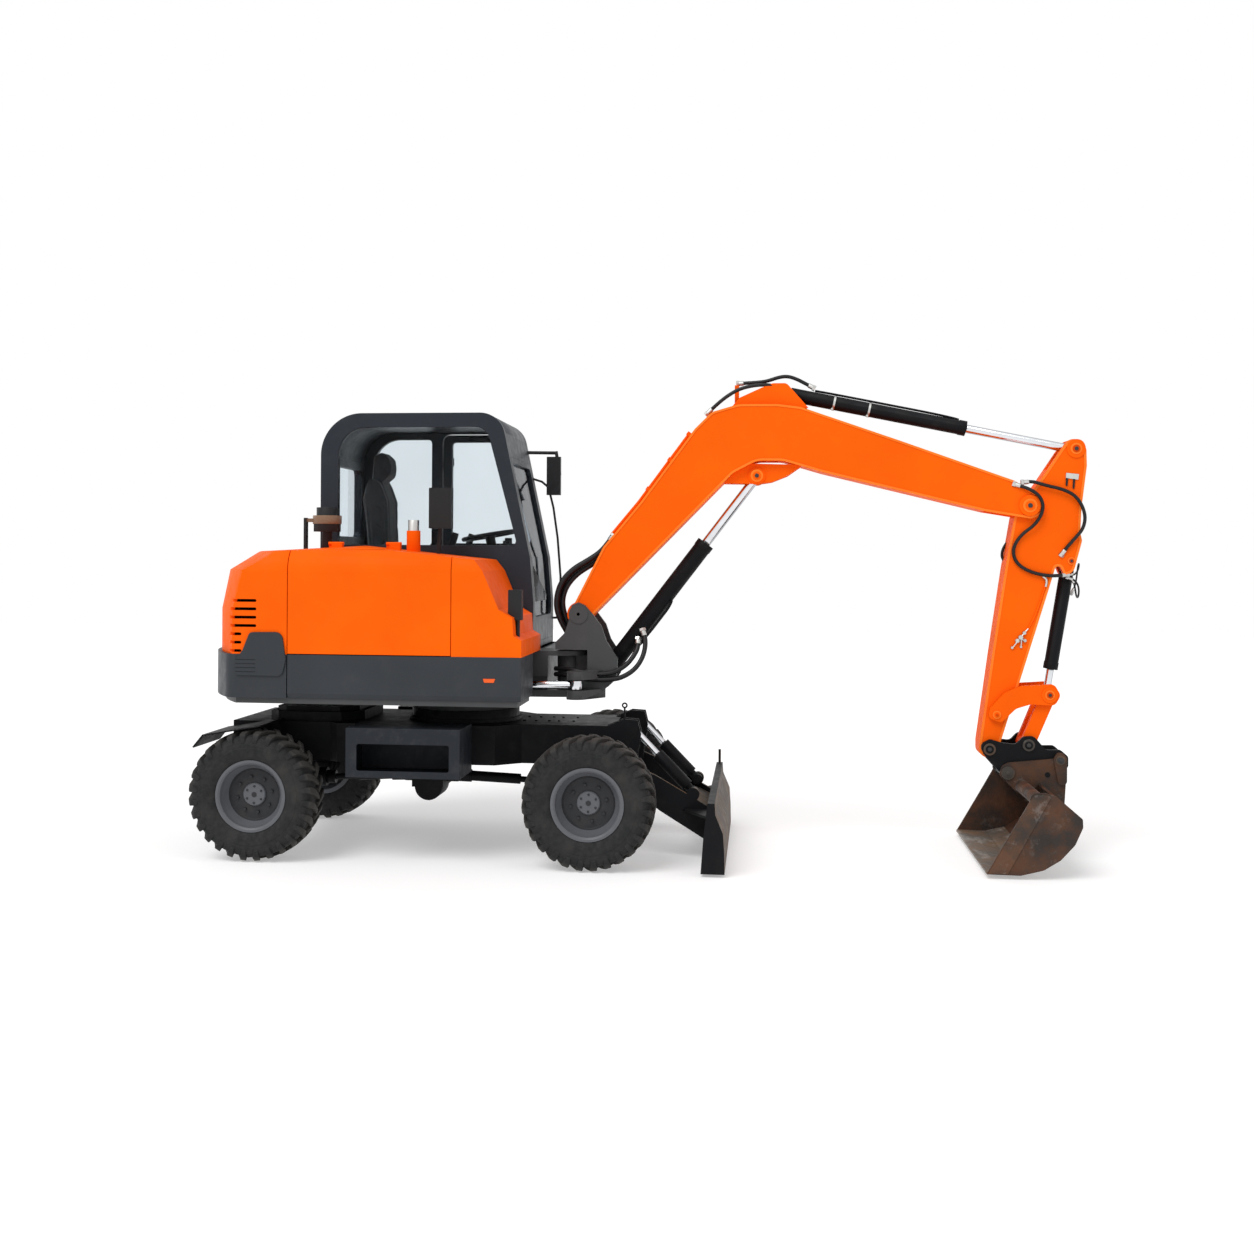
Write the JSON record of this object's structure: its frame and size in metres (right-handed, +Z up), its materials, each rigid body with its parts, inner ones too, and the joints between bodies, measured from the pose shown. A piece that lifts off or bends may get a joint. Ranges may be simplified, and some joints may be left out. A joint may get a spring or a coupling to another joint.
{
  "type": "wheeled excavator",
  "caption": "Compact wheeled excavator with cab, swing boom, dipper arm, wide ditch cleaning bucket and a front dozer blade.",
  "frame": {"origin": "on the ground, under the middle of the whole machine's length and width", "axes": "+X forward towards the bucket, +Y to the machine's left, +Z up"},
  "size_m": [5.6158, 1.9355, 3.04],
  "materials": {
    "orange": "gloss",
    "dark_grey": "satin",
    "cab_grey": "satin",
    "black_paint": "satin",
    "rim_grey": "satin",
    "tyre": "matt",
    "rod_chrome": "polished",
    "worn_steel": "worn",
    "iron": "cast",
    "glass": "clear",
    "seat_cloth": "woven",
    "black_plastic": "matt"
  },
  "bodies": {
    "chassis": {"chassis_frame": "black_paint", "steps": "dark_grey", "mudguards": "black_paint", "rear_axle": "black_paint", "front_axle": "black_paint", "drive_line": "black_paint"},
    "knuckle_left": {"knuckle_left": "black_paint"},
    "knuckle_right": {"knuckle_right": "black_paint"},
    "steering_rod": {"steering_rod": "rod_chrome"},
    "wheel_front_left": {"tyre_front_left": "tyre", "wheel_front_left": "rim_grey"},
    "wheel_front_right": {"tyre_front_right": "tyre", "wheel_front_right": "rim_grey"},
    "wheel_rear_left": {"tyre_rear_left": "tyre", "wheel_rear_left": "rim_grey"},
    "wheel_rear_right": {"tyre_rear_right": "tyre", "wheel_rear_right": "rim_grey"},
    "blade": {"blade": "worn_steel"},
    "blade_barrels": {"blade_barrels": "black_paint"},
    "blade_rods": {"blade_rods": "rod_chrome"},
    "upper": {"upper_frame": "dark_grey", "skirts": "dark_grey", "counterweight": "dark_grey", "rear_hood": "orange", "hood_cover": "orange", "engine": "iron", "cab_side_right": "cab_grey", "cab_side_left": "cab_grey", "cab_roof": "cab_grey", "cab_rear": "cab_grey", "cab_front": "cab_grey", "cab_floor": "cab_grey", "cab_glass": "glass", "windscreen": "glass", "seat_base": "black_plastic", "seat_cushion": "seat_cloth", "seat_back": "seat_cloth", "steering_column": "black_plastic", "hood_fittings": "black_plastic", "mirrors": "black_plastic"},
    "cab_door": {"cab_door": "cab_grey", "door_glass": "glass"},
    "side_door": {"side_door": "orange"},
    "swing_post": {"swing_post": "dark_grey"},
    "swing_barrel": {"swing_barrel": "black_paint"},
    "swing_rod": {"swing_rod": "rod_chrome"},
    "boom": {"boom": "orange"},
    "boom_barrel": {"boom_barrel": "black_paint"},
    "boom_rod": {"boom_rod": "rod_chrome"},
    "arm": {"arm": "orange"},
    "arm_barrel": {"arm_barrel": "black_paint"},
    "arm_rod": {"arm_rod": "rod_chrome"},
    "bucket": {"hitch": "black_paint", "bucket": "worn_steel"},
    "bucket_barrel": {"bucket_barrel": "black_paint"},
    "bucket_rod": {"bucket_rod": "rod_chrome"},
    "rocker": {"rocker": "orange"},
    "push_link": {"push_link": "orange"}
  },
  "joints": [
    {"name": "roll_front_left", "type": "hinge", "parent": "knuckle_left", "child": "wheel_front_left", "pos_m": [-0.2915, 0.8075, 0.408], "axis": [0, 1, 0], "continuous": true},
    {"name": "roll_front_right", "type": "hinge", "parent": "knuckle_right", "child": "wheel_front_right", "pos_m": [-0.2915, -0.8075, 0.408], "axis": [0, 1, 0], "continuous": true},
    {"name": "roll_rear_left", "type": "hinge", "parent": "chassis", "child": "wheel_rear_left", "pos_m": [-2.3915, 0.8075, 0.408], "axis": [0, 1, 0], "continuous": true},
    {"name": "roll_rear_right", "type": "hinge", "parent": "chassis", "child": "wheel_rear_right", "pos_m": [-2.3915, -0.8075, 0.408], "axis": [0, 1, 0], "continuous": true},
    {"name": "steer", "type": "hinge", "parent": "chassis", "child": "knuckle_left", "pos_m": [-0.2915, 0.64, 0.408], "axis": [0, 0, 1], "range_deg": [-30, 30]},
    {"name": "steer_right", "type": "hinge", "parent": "chassis", "child": "knuckle_right", "pos_m": [-0.2915, -0.64, 0.408], "axis": [0, 0, 1], "range_deg": [-30.05, 30.05]},
    {"name": "steer_rod_slide", "type": "slide", "parent": "chassis", "child": "steering_rod", "axis": [0, 1, 0], "range_m": [-0.0865, 0.0865]},
    {"name": "blade_lift", "type": "hinge", "parent": "chassis", "child": "blade", "pos_m": [-0.1015, 0, 0.535], "axis": [0, -1, 0], "range_deg": [-12, 25]},
    {"name": "blade_barrel_turn", "type": "hinge", "parent": "blade", "child": "blade_barrels", "pos_m": [0.3235, 0, 0.408], "axis": [0, -1, 0], "range_deg": [-7.44, 3.6]},
    {"name": "blade_rod_slide", "type": "slide", "parent": "blade_barrels", "child": "blade_rods", "axis": [-0.6983, 0, 0.7158], "range_m": [-0.09982, 0.04817]},
    {"name": "slew", "type": "hinge", "parent": "chassis", "child": "upper", "pos_m": [-1.2115, 0, 0.985], "axis": [0, 0, 1], "continuous": true},
    {"name": "cab_door_turn", "type": "hinge", "parent": "upper", "child": "cab_door", "pos_m": [-1.56, 0.936, 2], "axis": [0, 0, 1], "range_deg": [0, 140]},
    {"name": "side_door_lift", "type": "hinge", "parent": "upper", "child": "side_door", "pos_m": [-1.6415, -0.47, 1.982], "axis": [-1, 0, 0], "range_deg": [0, 60]},
    {"name": "boom_swing", "type": "hinge", "parent": "upper", "child": "swing_post", "pos_m": [-0.5215, 0, 1.08], "axis": [0, 0, 1], "range_deg": [-55, 70]},
    {"name": "swing_barrel_turn", "type": "hinge", "parent": "upper", "child": "swing_barrel", "pos_m": [-1.6415, -0.42, 1.08], "axis": [0, 0, 1], "range_deg": [-2, 2.53]},
    {"name": "swing_rod_slide", "type": "slide", "parent": "swing_barrel", "child": "swing_rod", "axis": [0.9958, 0.0918, 0], "range_m": [-0.24956, 0.31749]},
    {"name": "boom_lift", "type": "hinge", "parent": "swing_post", "child": "boom", "pos_m": [-0.4405, 0, 1.531], "axis": [0, -1, 0], "range_deg": [-45, 25]},
    {"name": "boom_barrel_turn", "type": "hinge", "parent": "swing_post", "child": "boom_barrel", "pos_m": [-0.2665, 0, 1.144], "axis": [0, -1, 0], "range_deg": [-41.53, 23.09]},
    {"name": "boom_rod_slide", "type": "slide", "parent": "boom_barrel", "child": "boom_rod", "axis": [0.6029, 0, 0.7978], "range_m": [-0.29921, 0.16645]},
    {"name": "arm_turn", "type": "hinge", "parent": "boom", "child": "arm", "pos_m": [2.4265, 0, 2.248], "axis": [0, 1, 0], "range_deg": [-75, 45]},
    {"name": "arm_barrel_turn", "type": "hinge", "parent": "boom", "child": "arm_barrel", "pos_m": [0.8625, 0, 2.985], "axis": [0, 1, 0], "range_deg": [-1.81, 1.11]},
    {"name": "arm_rod_slide", "type": "slide", "parent": "arm_barrel", "child": "arm_rod", "axis": [0.9801, 0, -0.1986], "range_m": [-0.50626, 0.30396]},
    {"name": "bucket_curl", "type": "hinge", "parent": "arm", "child": "bucket", "pos_m": [2.1855, 0, 0.702], "axis": [0, 1, 0], "range_deg": [-15, 150]},
    {"name": "rocker_turn", "type": "hinge", "parent": "arm", "child": "rocker", "pos_m": [2.2305, 0, 0.921], "axis": [0, 1, 0], "range_deg": [-10.13, 100.83]},
    {"name": "push_link_turn", "type": "hinge", "parent": "bucket", "child": "push_link", "pos_m": [2.4265, 0, 0.733], "axis": [0, 1, 0], "range_deg": [-93.37, 9.38]},
    {"name": "bucket_barrel_turn", "type": "hinge", "parent": "arm", "child": "bucket_barrel", "pos_m": [2.6885, 0, 1.899], "axis": [0, 1, 0], "range_deg": [-0.3, 2.6]},
    {"name": "bucket_rod_slide", "type": "slide", "parent": "bucket_barrel", "child": "bucket_rod", "axis": [-0.1549, 0, -0.9879], "range_m": [-0.05598, 0.55527]}
  ],
  "couplings": [
    {"joint": "steer_right", "follows": "steer", "ratio": 1},
    {"joint": "steer_rod_slide", "follows": "steer", "m_per_rad": 0.16425},
    {"joint": "blade_barrel_turn", "follows": "blade_lift", "ratio": -0.29554},
    {"joint": "blade_rod_slide", "follows": "blade_lift", "m_per_rad": -0.22762},
    {"joint": "swing_barrel_turn", "follows": "boom_swing", "ratio": 0.035369},
    {"joint": "swing_rod_slide", "follows": "boom_swing", "m_per_rad": 0.25946},
    {"joint": "boom_barrel_turn", "follows": "boom_lift", "ratio": 0.92173},
    {"joint": "boom_rod_slide", "follows": "boom_lift", "m_per_rad": 0.38033},
    {"joint": "arm_barrel_turn", "follows": "arm_turn", "ratio": 0.023517},
    {"joint": "arm_rod_slide", "follows": "arm_turn", "m_per_rad": 0.38637},
    {"joint": "rocker_turn", "follows": "bucket_curl", "ratio": 0.67184},
    {"joint": "push_link_turn", "follows": "bucket_curl", "ratio": -0.62215},
    {"joint": "bucket_barrel_turn", "follows": "bucket_curl", "ratio": 0.017008},
    {"joint": "bucket_rod_slide", "follows": "bucket_curl", "m_per_rad": 0.21191}
  ]
}
